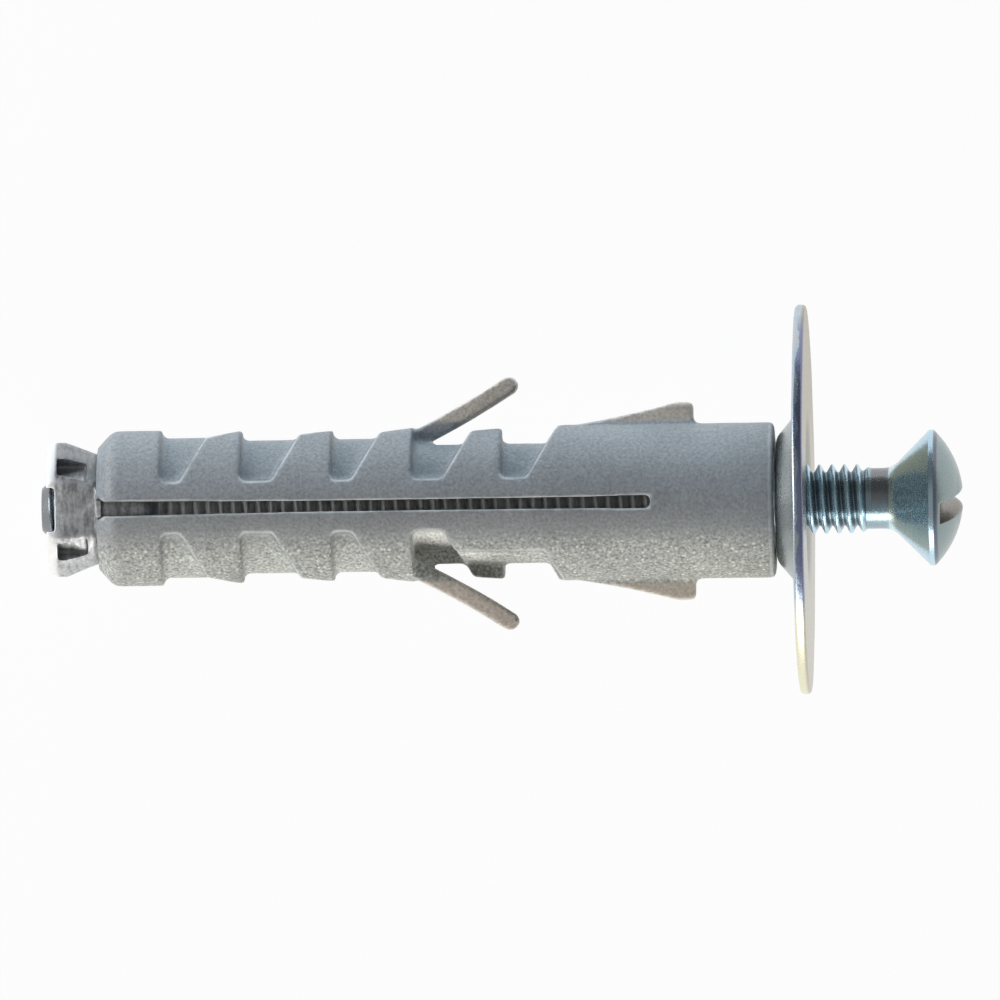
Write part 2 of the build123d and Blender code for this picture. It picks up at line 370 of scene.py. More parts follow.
threadShape = {
    "spareTurns": 1.3,
    "rowNudge": 0.0001,
    "flank": (0.15, 0.85),
    "mergeWithin": 0.002,
}


def makeThread():
    # a helical grid: every row of vertices follows the thread, so crests and roots stay crisp
    inputs = [
        ("Start", "NodeSocketFloat", -41.1),
        ("End", "NodeSocketFloat", 5.3),
        ("Pitch", "NodeSocketFloat", 0.7),
        ("Phase", "NodeSocketFloat", 0.25),
        ("Crest Radius", "NodeSocketFloat", 1.95),
        ("Root Radius", "NodeSocketFloat", 1.55),
        ("Tip Radius", "NodeSocketFloat", 1.2),
        ("Neck Radius", "NodeSocketFloat", 1.7),
        ("Steps Around", "NodeSocketInt", 60),
        ("Steps A Turn", "NodeSocketInt", 10),
    ]
    tree, given, result = newGeometryTree("screwThread", inputs)
    reach = maths(tree, "SUBTRACT", given["End"], given["Start"])
    spare = maths(tree, "ADD", given["Phase"], threadShape["spareTurns"])
    turns = maths(tree, "ADD", maths(tree, "DIVIDE", reach, given["Pitch"]), spare)
    rows = maths(tree, "CEIL", product(tree, turns, given["Steps A Turn"]))
    columns = maths(tree, "ADD", given["Steps Around"], 1.0)
    feeds = {"Vertices X": rows, "Vertices Y": columns}
    grid = addNode(tree, "GeometryNodeMeshGrid", feeds).outputs["Mesh"]
    number = addNode(tree, "GeometryNodeInputIndex").outputs[0]
    row = maths(tree, "FLOOR", maths(tree, "DIVIDE", maths(tree, "ADD", number, 0.5), columns))
    column = maths(tree, "SUBTRACT", number, product(tree, row, columns))
    share = maths(tree, "DIVIDE", column, given["Steps Around"])
    turned = maths(tree, "DIVIDE", row, given["Steps A Turn"])
    peakPhase = maths(tree, "FRACT", maths(tree, "ADD", turned, threadShape["rowNudge"]))
    behind = maths(tree, "ADD", given["Phase"], 1.0)
    ahead = maths(tree, "SUBTRACT", maths(tree, "ADD", turned, share), behind)
    freeX = maths(tree, "ADD", given["Start"], product(tree, ahead, given["Pitch"]))
    x = maths(tree, "MINIMUM", maths(tree, "MAXIMUM", freeX, given["Start"]), given["End"])
    # trapezium from root to crest and back over one turn
    swing = maths(tree, "SUBTRACT", product(tree, peakPhase, 2.0), 1.0)
    towardsCrest = maths(tree, "SUBTRACT", 1.0, maths(tree, "ABSOLUTE", swing))
    lifted = spread(tree, towardsCrest, *threadShape["flank"], smooth=False)
    toothHeight = maths(tree, "SUBTRACT", given["Crest Radius"], given["Root Radius"])
    full = maths(tree, "ADD", given["Root Radius"], product(tree, lifted, toothHeight))
    # the thread runs out into the neck, and the tip is a short cone
    left = maths(tree, "SUBTRACT", given["End"], x)
    fade = maths(tree, "DIVIDE", left, given["Pitch"], clamp=True)
    extra = product(tree, fade, maths(tree, "SUBTRACT", full, given["Neck Radius"]))
    runOut = maths(tree, "ADD", given["Neck Radius"], extra)
    tipCone = maths(tree, "ADD", given["Tip Radius"], maths(tree, "SUBTRACT", x, given["Start"]))
    limited = maths(tree, "MINIMUM", runOut, tipCone)
    # the first and the last row close the ends
    afterFirst = maths(tree, "GREATER_THAN", row, 0.5)
    beforeLast = maths(tree, "LESS_THAN", row, maths(tree, "SUBTRACT", rows, 1.5))
    radius = product(tree, limited, product(tree, afterFirst, beforeLast))
    angle = product(tree, share, 2 * pi)
    y = product(tree, radius, maths(tree, "COSINE", angle))
    z = product(tree, radius, maths(tree, "SINE", angle))
    spot = addNode(tree, "ShaderNodeCombineXYZ", {"X": x, "Y": y, "Z": z}).outputs[0]
    placed = addNode(tree, "GeometryNodeSetPosition", {"Geometry": grid, "Position": spot}).outputs[0]
    feeds = {"Geometry": placed, "Distance": threadShape["mergeWithin"]}
    closed = addNode(tree, "GeometryNodeMergeByDistance", feeds).outputs[0]
    endGeometryTree(tree, closed, given["Material"], result)
    return tree


unevenSurface = makeUnevenness()
screwThread = makeThread()
print("geometry trees made")


# mesh helpers

weldDistance = 0.0005


def newObject(name, mesh):
    piece = bpy.data.objects.new(name, mesh)
    scene.collection.objects.link(piece)
    return piece


def weldedShape(node):
    # the node's loose triangles joined, in the plug's frame and millimetres
    shape = bmesh.new()
    shape.from_mesh(frame["nodes"][node].data)
    shape.transform(standUp)
    bmesh.ops.remove_doubles(shape, verts=shape.verts, dist=weldDistance)
    return shape


def softenedCopy(node, name, settings):
    # small voxels and a little smoothing round the edges as the mould does
    shape = weldedShape(node)
    mesh = bpy.data.meshes.new(name)
    shape.to_mesh(mesh)
    shape.free()
    piece = newObject(name, mesh)
    remesh = piece.modifiers.new("softEdges", "REMESH")
    remesh.mode = "VOXEL"
    remesh.voxel_size = settings["voxel"]
    smooth = piece.modifiers.new("smoothing", "SMOOTH")
    smooth.factor = 0.5
    smooth.iterations = settings["smoothing"]
    if settings["keptFaces"] < 1:
        thin = piece.modifiers.new("thinning", "DECIMATE")
        thin.ratio = settings["keptFaces"]
    return piece


def addTree(piece, tree, values):
    modifier = piece.modifiers.new(tree.name, "NODES")
    modifier.node_group = tree
    names = {item.name: item.identifier for item in tree.interface.items_tree if item.in_out == "INPUT"}
    for label, value in values.items():
        modifier[names[label]] = value


def settle(piece):
    # what the modifiers make becomes the piece's own plain mesh
    seen = piece.evaluated_get(bpy.context.evaluated_depsgraph_get())
    mesh = bpy.data.meshes.new_from_object(seen)
    piece.modifiers.clear()
    piece.data = mesh
    mesh.name = piece.name


def measureEdges(piece, node, steepest):
    # every vertex keeps its distance to the CAD's nearest outer edge and nearest inner corner; an
    # outer edge of a wall squarer to the plug's axis than the steepest doesn't count
    shape = weldedShape(node)
    lines = {"outerEdge": [], "innerCorner": []}
    for edge in shape.edges:
        if len(edge.link_faces) != 2 or edge.calc_face_angle(0) < radians(edgeShape["leastAngle"]):
            continue
        square = max(abs(face.normal.x) for face in edge.link_faces) > steepest
        if edge.is_convex and square:
            continue
        first, last = (corner.co for corner in edge.verts)
        parts = max(1, round((last - first).length / edgeShape["spacing"]))
        spots = [first.lerp(last, index / parts) for index in range(parts + 1)]
        lines["outerEdge" if edge.is_convex else "innerCorner"] += spots
    shape.free()
    for label, spots in lines.items():
        near = KDTree(len(spots))
        for index, spot in enumerate(spots):
            near.insert(spot, index)
        near.balance()
        away = [near.find(vertex.co)[2] for vertex in piece.data.vertices]
        piece.data.attributes.new(label, "FLOAT", "POINT").data.foreach_set("value", away)


def softPiece(node, name, settings, material):
    # a moulding or casting made from its node: soft, gently uneven, and with its edges measured
    piece = softenedCopy(node, name, settings)
    values = {"Depth": settings["waveDepth"], "Size": settings["waveSize"], "Material": material}
    addTree(piece, unevenSurface, values)
    settle(piece)
    measureEdges(piece, node, settings["steepest"])
    return piece


def faceOutwards(mesh):
    shaped = bmesh.new()
    shaped.from_mesh(mesh)
    bmesh.ops.recalc_face_normals(shaped, faces=shaped.faces)
    shaped.to_mesh(mesh)
    shaped.free()


def roundedLine(corners, rounds, closed=False, step=14.0):
    # a run of points with an arc at each corner that has a round
    count = len(corners)
    points = []
    for place, (corner, bend) in enumerate(zip(corners, rounds)):
        here = Vector(corner)
        if bend <= 0 or (not closed and place in (0, count - 1)):
            points.append(here)
            continue
        back = (Vector(corners[place - 1]) - here).normalized()
        ahead = (Vector(corners[(place + 1) % count]) - here).normalized()
        half = back.angle(ahead) / 2
        reach = bend / tan(half)
        middle = here + (back + ahead).normalized() * (bend / sin(half))
        first = here + back * reach - middle
        last = here + ahead * reach - middle
        sweep = first.angle_signed(last)
        pieces = max(2, round(abs(sweep) / radians(step)))
        for index in range(pieces + 1):
            turn = Matrix.Rotation(-sweep * index / pieces, 2)
            points.append(middle + turn @ first)
    return points


def turnedMesh(name, outline, steps, closed, centreHeight=0.0):
    # the outline's points are (along, radius); an open outline starts and ends on the axis
    shape = bmesh.new()
    rings = []
    for along, radius in outline:
        if radius < 1e-6:
            rings.append([shape.verts.new((along, 0, centreHeight))] * steps)
            continue
        ring = []
        for index in range(steps):
            angle = 2 * pi * index / steps
            ring.append(shape.verts.new((along, radius * cos(angle), centreHeight + radius * sin(angle))))
        rings.append(ring)
    followers = rings[1:] + rings[:1] if closed else rings[1:]
    for near, far in zip(rings, followers):
        for index in range(steps):
            after = (index + 1) % steps
            loop = []
            for corner in (near[index], far[index], far[after], near[after]):
                if corner not in loop:
                    loop.append(corner)
            if len(loop) > 2:
                shape.faces.new(loop)
    bmesh.ops.recalc_face_normals(shape, faces=shape.faces)
    mesh = bpy.data.meshes.new(name)
    shape.to_mesh(mesh)
    shape.free()
    return mesh


def dress(piece, material, node, body):
    # lay the piece down, smooth it and hand it to the body that carries it
    piece.data.transform(layDown)
    piece.data.materials.clear()
    piece.data.materials.append(material)
    piece.data.shade_smooth()
    piece.data.update()
    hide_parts(node)
    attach(piece, body)
    print(piece.name, "has", sum(len(face.vertices) - 2 for face in piece.data.polygons), "triangles")


# sleeve: nylon moulding with soft edges and a coarse skin; a pair or a row of four says where a
# look starts and where it is full, in the plug's frame
sleeve = {
    "voxel": 0.16,
    "smoothing": 2,
    "keptFaces": 1,
    "waveDepth": 0.06,
    "waveSize": 2.2,
    "steepest": 0.95,
    "colour": (0.34, 0.357, 0.376, 1),
    "keyLitColour": (0.38, 0.39, 0.375, 1),
    "coolShadePocketColour": (0.3, 0.33, 0.355, 1),
    "keyLitPocketColour": (0.46, 0.475, 0.455, 1),
    "thinGlowColour": (0.74, 0.66, 0.58, 1),
    "edgeHighlightColour": (0.72, 0.75, 0.76, 1),
    "cornerShadeColour": (0.13, 0.14, 0.145, 1),
    "paleLightColour": (0.9, 0.9, 0.87, 1),
    "speckGlintColour": (0.84, 0.87, 0.82, 1),
    "floorRadius": (4.12, 3.98),
    "pocketSide": (-2.0, 1.0),
    "thinRadius": (4.42, 4.8),
    "keyLitSide": (-0.9, -3.0),
    "reliefAlong": (-20.6, -20.3, -17.2, -15.0),
    "reliefFromMiddle": (1.35, 1.5),
    "reliefSide": (1.0, -1.0),
    "reliefRadius": (3.5, 3.3),
    "wallFromMiddle": (0.5, 0.42),
    "wallRadius": (4.1, 3.8),
    "paleShare": 0.8,
    "cloudSize": 2.8,
    "cloudShade": (0.94, 1.05),
    "grainSize": 0.17,
    "grainContrast": 0.42,
    "keyLitContrast": 1.1,
    "grainDepth": 0.00003,
    "grainBump": 0.7,
    "speckGlintShare": 0.95,
    "edgeWidth": 0.2,
    "edgeShare": 0.6,
    "cornerShare": 0.35,
    "roughness": (0.58, 0.42),
    "pocketShine": 0.08,
    "reliefShine": 0.2,
    "specular": 0.45,
}


def makeNylon():
    material, tree, shader, place = newMaterial("sleeveNylon")
    side, radius = place["Side"], place["Radius"]
    fromMiddle = maths(tree, "ABSOLUTE", side)
    grain = useGroup(tree, skinGrain, {"Vector": place["Place"], "Grain Size": sleeve["grainSize"]})
    # the pockets' floors get painted light, a cool painted shade on one side and paler painted light on
    # the key-lit side, and what stands out thinly gets a painted warm glow, as of light let through
    onFloor = spread(tree, radius, *sleeve["floorRadius"])
    inPocket = product(tree, onFloor, spread(tree, side, *sleeve["pocketSide"]))
    standsOut = spread(tree, radius, *sleeve["thinRadius"])
    # the side that the key lights gets a lighter painted colour, stronger painted grain shading and
    # painted glints on its specks; the barbs and fins are smooth and left out of it
    keyLitHalf = spread(tree, side, *sleeve["keyLitSide"])
    keyLitSkin = product(tree, keyLitHalf, spread(tree, standsOut, 1.0, 0.0))
    colour = painted(tree, sleeve["colour"], sleeve["keyLitColour"], keyLitSkin)
    colour = painted(tree, colour, sleeve["coolShadePocketColour"], inPocket)
    colour = painted(tree, colour, sleeve["keyLitPocketColour"], onFloor, keyLitSkin)
    colour = painted(tree, colour, sleeve["thinGlowColour"], standsOut)
    # the pin that forms the relief under the barb leaves it smooth and shiny, and its pale colour is
    # painted light that lifts the shade under the barb
    relief = product(
        tree,
        band(tree, place["Along"], *sleeve["reliefAlong"]),
        spread(tree, fromMiddle, *sleeve["reliefFromMiddle"]),
        spread(tree, side, *sleeve["reliefSide"]),
        spread(tree, radius, *sleeve["reliefRadius"]),
    )
    colour = painted(tree, colour, sleeve["paleLightColour"], relief, sleeve["paleShare"])
    # the slot's walls get the same pale painted light, which lifts the shade in the slot
    inSlot = spread(tree, fromMiddle, *sleeve["wallFromMiddle"])
    onWall = product(tree, inSlot, spread(tree, radius, *sleeve["wallRadius"]))
    colour = painted(tree, colour, sleeve["paleLightColour"], onWall, sleeve["paleShare"])
    # broad clouds and the grain shade all of it, and the grain's shading is painted stronger on the
    # key-lit side
    clouds = noise(tree, place["Place"], sleeve["cloudSize"], 3.0)
    cloudy = spread(tree, clouds, 0.3, 0.7, *sleeve["cloudShade"], smooth=False)
    contrast = spread(tree, keyLitSkin, 0.0, 1.0, sleeve["grainContrast"], sleeve["keyLitContrast"])
    swing = product(tree, maths(tree, "SUBTRACT", grain["Grain"], 0.5), contrast)
    shade = product(tree, cloudy, maths(tree, "ADD", swing, 1.0))
    colour = mixColour(tree, 1.0, colour, shade, "MULTIPLY")
    # painted glints on the specks of the key-lit side
    colour = painted(tree, colour, sleeve["speckGlintColour"], grain["Specks"], keyLitSkin, sleeve["speckGlintShare"])
    edgeSheenCornerShade = useGroup(tree, edgeLines, {"Vector": place["Place"], "Edge Width": sleeve["edgeWidth"]})
    # painted shade in the inner corners and painted highlights along the outer edges
    colour = painted(tree, colour, sleeve["cornerShadeColour"], edgeSheenCornerShade["Corners"], sleeve["cornerShare"])
    colour = painted(tree, colour, sleeve["edgeHighlightColour"], edgeSheenCornerShade["Edges"], sleeve["edgeShare"])
    tree.links.new(colour, shader["Base Color"])
    matt = spread(tree, grain["Height"], 0.3, 1.0, *sleeve["roughness"])
    pocketShine = product(tree, inPocket, sleeve["pocketShine"])
    shine = maths(tree, "ADD", pocketShine, product(tree, relief, sleeve["reliefShine"]))
    tree.links.new(maths(tree, "SUBTRACT", matt, shine), shader["Roughness"])
    skin = bumped(tree, grain["Height"], sleeve["grainBump"], sleeve["grainDepth"])
    tree.links.new(skin, shader["Normal"])
    shader["Specular IOR Level"].default_value = sleeve["specular"]
    return material


nylon = makeNylon()
sleevePiece = softPiece("expansion_sleeve", "sleeve_moulding", sleeve, nylon)
dress(sleevePiece, nylon, "expansion_sleeve", "sleeve")
print("sleeve done")


# nut: die-cast zinc, streaked and grainy; no wall is too steep for its edges to count
nut = {
    "voxel": 0.075,
    "smoothing": 2,
    "keptFaces": 0.6,
    "waveDepth": 0.08,
    "waveSize": 0.9,
    "steepest": 2.0,
    "colour": (0.7, 0.71, 0.73, 1),
    "darkColour": (0.34, 0.345, 0.36, 1),
    "lobeShadeColour": (0.22, 0.225, 0.235, 1),
    "edgeHighlightColour": (0.95, 0.95, 0.96, 1),
    "cornerShadeColour": (0.07, 0.07, 0.075, 1),
    "streakStretch": (3.2, 1.1, 1.1),
    "streakSize": 0.9,
    "streakRange": (0.28, 0.62),
    "grainSize": 0.2,
    "speckSize": 0.4,
    "speckShare": 0.4,
    "grainShade": (0.84, 1.14),
    "grainHeight": 0.35,
    "edgeWidth": 0.16,
    "edgeShare": 0.4,
    "cornerWidth": 0.25,
    "cornerShare": 0.55,
    "lobeSide": (1.5, 2.2),
    "lobeShare": 0.7,
    "otherLobeSide": (-1.3, -1.8),
    "otherLobeShare": 0.37,
    "rimAlong": (-40.1, -40.35),
    "rimRadius": (2.7, 3.0),
    "rimShare": 0.9,
    "roughness": (0.5, 0.36),
    "castBump": 0.6,
    "castDepth": 0.00007,
    "metal": 0.6,
    "rimMetal": 0.1,
}


def makeCastZinc():
    material, tree, shader, place = newMaterial("nutCastZinc")
    # the casting's streaks run round the nut, short along its axis
    feeds = {"Vector": place["Place"], "Scale": nut["streakStretch"]}
    streaked = addNode(tree, "ShaderNodeMapping", feeds).outputs[0]
    streaks = noise(tree, streaked, nut["streakSize"], 3.0, 0.6)
    grain = useGroup(tree, skinGrain, {
        "Vector": place["Place"],
        "Grain Size": nut["grainSize"],
        "Speck Size": nut["speckSize"],
        "Speck Share": nut["speckShare"],
    })
    colour = painted(tree, nut["darkColour"], nut["colour"], spread(tree, streaks, *nut["streakRange"]))
    shade = spread(tree, grain["Grain"], 0.0, 1.0, *nut["grainShade"])
    colour = mixColour(tree, 1.0, colour, shade, "MULTIPLY")
    edgeSheenCornerShade = useGroup(tree, edgeLines, {
        "Vector": place["Place"],
        "Edge Width": nut["edgeWidth"],
        "Corner Width": nut["cornerWidth"],
    })
    # painted highlights along the outer edges and painted shade in the inner corners
    colour = painted(tree, colour, nut["edgeHighlightColour"], edgeSheenCornerShade["Edges"], nut["edgeShare"])
    colour = painted(tree, colour, nut["cornerShadeColour"], edgeSheenCornerShade["Corners"], nut["cornerShare"])
    # the lobes beside the flutes get painted shade, most of all on one side, and the end's rim gets a
    # painted highlight
    lobe = spread(tree, place["Side"], *nut["lobeSide"], 0.0, nut["lobeShare"])
    otherLobe = spread(tree, place["Side"], *nut["otherLobeSide"], 0.0, nut["otherLobeShare"])
    colour = painted(tree, colour, nut["lobeShadeColour"], maths(tree, "ADD", lobe, otherLobe))
    atEnd = spread(tree, place["Along"], *nut["rimAlong"])
    onRim = product(tree, atEnd, spread(tree, place["Radius"], *nut["rimRadius"]))
    colour = painted(tree, colour, nut["edgeHighlightColour"], onRim, nut["rimShare"])
    tree.links.new(colour, shader["Base Color"])
    tree.links.new(spread(tree, streaks, 0.3, 0.8, *nut["roughness"]), shader["Roughness"])
    height = maths(tree, "ADD", streaks, product(tree, grain["Height"], nut["grainHeight"]))
    tree.links.new(bumped(tree, height, nut["castBump"], nut["castDepth"]), shader["Normal"])
    tree.links.new(spread(tree, onRim, 0.0, 1.0, nut["metal"], nut["rimMetal"]), shader["Metallic"])
    return material


castZinc = makeCastZinc()
nutPiece = softPiece("cone_nut", "nut_casting", nut, castZinc)
dress(nutPiece, castZinc, "cone_nut", "nut")
print("nut done")


# bright zinc plating, which the screw and the washer share
brightZinc = {
    "edgeStart": 0.53,
    "edgeFull": 0.62,
    "rubbedColour": (0.8, 0.82, 0.83, 1),
    "rubbedShare": 0.4,
    "depth": 0.00005,
    "shelteredDullness": 0.22,
}


def makeBrightZinc(name, settings, findLayers):
    # the piece's own layers of colour lie over the plating, and what is sheltered is dull and
    # doesn't mirror; findLayers gives both, with None where nothing is sheltered
    material, tree, shader, place = newMaterial(name)
    plating = useGroup(tree, zincPlating, {
        "Vector": place["Place"],
        "Patch Size": settings["patchSize"],
        "Tint Strength": settings["tint"],
        "Base": settings["colour"],
        "Smoothness": settings["smoothness"],
    })
    wearFeeds = {"Edge Start": brightZinc["edgeStart"], "Edge Full": brightZinc["edgeFull"]}
    edges = useGroup(tree, edgeWear, wearFeeds)["Edges"]
    rubbedShare = brightZinc["rubbedShare"]
    colour = painted(tree, plating["Color"], brightZinc["rubbedColour"], edges, rubbedShare)
    layers, sheltered = findLayers(tree, place)
    for layerColour, masks in layers:
        colour = painted(tree, colour, layerColour, *masks)
    tree.links.new(colour, shader["Base Color"])
    skin = bumped(tree, plating["Height"], settings["bump"], brightZinc["depth"])
    tree.links.new(skin, shader["Normal"])
    roughness = plating["Roughness"]
    if sheltered is None:
        shader["Metallic"].default_value = settings["metal"]
    else:
        dullness = product(tree, sheltered, brightZinc["shelteredDullness"])
        roughness = maths(tree, "ADD", roughness, dullness)
        tree.links.new(spread(tree, sheltered, 0.0, 1.0, settings["metal"], 0.0), shader["Metallic"])
    tree.links.new(roughness, shader["Roughness"])
    return material


# screw: rolled thread, turned neck and head with a driver slot
screw = {
    "threadStart": -41.1,
    "threadEnd": 5.4,
    "pitch": 0.7,
    "phase": 0.24,
    "crestRadius": 1.95,
    "rootRadius": 1.5,
    "tipRadius": 1.2,
    "neckRadius": 1.7,
    "stepsAround": 60,
    "headTuck": 0.3,
    "coneStart": 6.55,
    "neckFillet": 1.2,
    "headRadius": 3.8,
    "rimStart": 8.65,
    "rimEnd": 8.9,
    "rimRound": 0.1,
    "crownTop": 10.5,
    "crownSteps": 20,
    "headSteps": 120,
    "slotWidth": 1.2,
    "slotDepth": 1.25,
    "slotTurn": 16.0,
    "slotEase": 0.05,
    "patchSize": 2.2,
    "tint": 0.28,
    "smoothness": 0.62,
    "bump": 0.3,
    "metal": 0.87,
    "colour": (0.56, 0.8, 0.95, 1),
    "grooveRadius": (1.85, 1.6),
    "grooveShadeColour": (0.06, 0.07, 0.08, 1),
    "grooveShare": 0.7,
    "shelteredAlong": (-35.2, -34.8, -0.6, 0.6),
    "shelteredLightColour": (0.85, 0.85, 0.85, 1),
    "shelteredShare": 0.95,
    "slopeRadius": (1.52, 1.6, 1.85, 1.93),
    "slopeLightColour": (1.0, 1.0, 1.0, 1),
    "slopeShare": 0.75,
    "tipAlong": (-40.3, -40.7),
    "tipColour": (0.25, 0.25, 0.26, 1),
    "tipShare": 0.85,
    "neckAlong": (5.3, 5.45, 6.3, 6.45),
    "neckSide": (-0.5, 0.1),
    "neckDarkReflectionColour": (0.24, 0.2, 0.2, 1),
    "neckShare": 0.7,
    "filletAlong": (6.3, 6.42, 6.6, 6.75),
    "filletHighlightColour": (0.75, 0.95, 1.0, 1),
    "filletShare": 0.7,
    "crownAlong": (8.85, 9.0),
    "crownShadeColour": (0.255, 0.3, 0.285, 1),
    "crownShare": 0.85,
    "rimAlong": (8.88, 8.94, 9.06, 9.16),
    "rimColour": (0.1, 0.1, 0.17, 1),
    "rimShare": 0.7,
    "slotBelow": (0.06, 0.2),
    "slotColour": (0.16, 0.12, 0.09, 1),
    "slotShare": 0.75,
}
crownHeight = screw["crownTop"] - screw["rimEnd"]
crownBend = (screw["headRadius"] ** 2 + crownHeight ** 2) / (2 * crownHeight)


def screwLayers(tree, place):
    along, radius = place["Along"], place["Radius"]
    # the thread's grooves get painted shade in the open, and inside the sleeve the thread gets a pale
    # painted light, paler still on its flanks, which get less light
    sheltered = band(tree, along, *screw["shelteredAlong"])
    inGroove = spread(tree, radius, *screw["grooveRadius"])
    inOpen = spread(tree, sheltered, 1.0, 0.0)
    onSlope = band(tree, radius, *screw["slopeRadius"])
    ribbed = painted(tree, screw["shelteredLightColour"], screw["slopeLightColour"], onSlope, screw["slopeShare"])
    # the tip is plain grey, the neck gets a painted dark reflection on one side and the fillet after it a
    # painted highlight
    onTip = spread(tree, along, *screw["tipAlong"])
    onNeck = band(tree, along, *screw["neckAlong"])
    darkSide = spread(tree, place["Side"], *screw["neckSide"])
    onFillet = band(tree, along, *screw["filletAlong"])
    # the crown gets painted shade that makes it darker than the flank, its rim has a dark line, and the
    # driver slot is brown inside
    onCrown = spread(tree, along, *screw["crownAlong"])
    onRim = band(tree, along, *screw["rimAlong"])
    square = maths(tree, "SUBTRACT", crownBend ** 2, product(tree, radius, radius))
    bend = maths(tree, "SQRT", maths(tree, "MAXIMUM", square, 0.0))
    crownSkin = maths(tree, "ADD", bend, screw["crownTop"] - crownBend)
    inSlot = spread(tree, maths(tree, "SUBTRACT", crownSkin, along), *screw["slotBelow"])
    layers = [
        (screw["grooveShadeColour"], [inGroove, screw["grooveShare"], inOpen]),
        (ribbed, [sheltered, screw["shelteredShare"]]),
        (screw["tipColour"], [onTip, screw["tipShare"]]),
        (screw["neckDarkReflectionColour"], [onNeck, darkSide, screw["neckShare"]]),
        (screw["filletHighlightColour"], [onFillet, screw["filletShare"]]),
        (screw["crownShadeColour"], [onCrown, screw["crownShare"]]),
        (screw["rimColour"], [onRim, screw["rimShare"]]),
        (screw["slotColour"], [inSlot, onCrown, screw["slotShare"]]),
    ]
    return layers, sheltered


screwZinc = makeBrightZinc("screwZinc", screw, screwLayers)
screwPiece = newObject("machine_screw_m4", bpy.data.meshes.new("machine_screw_m4"))
addTree(screwPiece, screwThread, {
    "Start": screw["threadStart"],
    "End": screw["threadEnd"],
    "Pitch": screw["pitch"],
    "Phase": screw["phase"],
    "Crest Radius": screw["crestRadius"],
    "Root Radius": screw["rootRadius"],
    "Tip Radius": screw["tipRadius"],
    "Neck Radius": screw["neckRadius"],
    "Steps Around": screw["stepsAround"],
    "Material": screwZinc,
})
settle(screwPiece)
faceOutwards(screwPiece.data)

# the head starts a little way inside the thread's end, and its crown is an arc up to the axis
crownHalf = atan2(screw["headRadius"], crownBend - crownHeight)
tuck = screw["headTuck"]
flank = [
    (screw["threadEnd"] - 2 * tuck, 0.0),
    (screw["threadEnd"] - 2 * tuck, screw["neckRadius"] - tuck),
    (screw["threadEnd"] - tuck, screw["neckRadius"]),
    (screw["coneStart"], screw["neckRadius"]),
    (screw["rimStart"], screw["headRadius"]),
    (screw["rimEnd"], screw["headRadius"]),
    (screw["rimEnd"] + tuck, screw["headRadius"] - tuck / tan(crownHalf)),
]
flankRounds = [0, 0, 0, screw["neckFillet"], screw["rimRound"], screw["rimRound"], 0]
headLine = roundedLine(flank, flankRounds, step=6)[:-1]
for index in range(1, screw["crownSteps"] + 1):
    lean = crownHalf * (1 - index / screw["crownSteps"])
    headLine.append(Vector((screw["crownTop"] - crownBend * (1 - cos(lean)), crownBend * sin(lean))))
headPiece = newObject("screw_head", turnedMesh("screw_head", headLine, screw["headSteps"], False))

cutterMesh = bpy.data.meshes.new("slot_cutter")
cutterShape = bmesh.new()
bmesh.ops.create_cube(cutterShape, size=1.0)
cutterShape.to_mesh(cutterMesh)
cutterShape.free()
cutterSize = Matrix.Diagonal((2 * screw["slotDepth"], screw["slotWidth"], 4 * screw["headRadius"], 1))
cutterTurn = Matrix.Rotation(radians(screw["slotTurn"]), 4, "X")
cutterMesh.transform(Matrix.Translation((screw["crownTop"], 0, 0)) @ cutterTurn @ cutterSize)
cutter = newObject("slot_cutter", cutterMesh)
carve = headPiece.modifiers.new("driverSlot", "BOOLEAN")
carve.object = cutter
carve.solver = "EXACT"
ease = headPiece.modifiers.new("edges", "BEVEL")
ease.width = screw["slotEase"]
ease.segments = 2
ease.limit_method = "ANGLE"
ease.angle_limit = radians(40)
settle(headPiece)
bpy.data.objects.remove(cutter)

whole = bmesh.new()
whole.from_mesh(screwPiece.data)
whole.from_mesh(headPiece.data)
whole.to_mesh(screwPiece.data)
whole.free()
bpy.data.objects.remove(headPiece)
dress(screwPiece, screwZinc, "machine_screw", "screw")
print("screw done")


# washer: pressed sheet with a dished middle; lengths along the axis that a layer of colour starts
# and ends at are counted from the lip
washer = {
    "gap": 0.02,
    "thickness": 0.6,
    "holeRadius": 2.6,
    "cupRadius": 3.45,
    "cupDepth": 1.19,
    "flankAngle": 50.0,
    "radius": 10.9,
    "floorBend": 0.8,
    "lipBend": 0.7,
    "rimRound": 0.22,
    "holeRound": 0.15,
    "ringSpacing": 0.45,
    "stepsAround": 180,
    "waveDepth": 0.12,
    "waveSize": 7.0,
    "patchSize": 4.0,
    "tint": 0.45,
    "smoothness": 0.55,
    "bump": 0.35,
    "metal": 0.9,
    "colour": (0.5, 0.57, 0.68, 1),
    "dishRadius": (6.6, 5.4),
    "dishColour": (0.36, 0.385, 0.375, 1),
    "dishShare": 0.8,
    "creamSide": (-5.0, -7.0),
    "keyLitCreamColour": (0.85, 0.82, 0.57, 1),
    "creamShare": 0.85,
    "headSide": (0.42, 0.62),
    "strawColour": (0.46, 0.43, 0.35, 1),
    "strawShare": 0.85,
    "brownSide": (0.0, 6.0),
    "brownShadeColour": (0.28, 0.23, 0.12, 1),
    "brownShare": 0.75,
    "shadeLinePast": 0.3,
    "shadeLineWander": (-0.12, 0.12),
    "shadeLineSize": 1.4,
    "shadeLineEdge": (0.0, 0.08),
    "shadeRimRadius": (10.4, 10.75),
    "shadeRimSide": (-7.0, -4.5, 9.2, 10.6),
    "rimShadeColour": (0.15, 0.19, 0.42, 1),
    "rimShadeShare": 0.65,
}

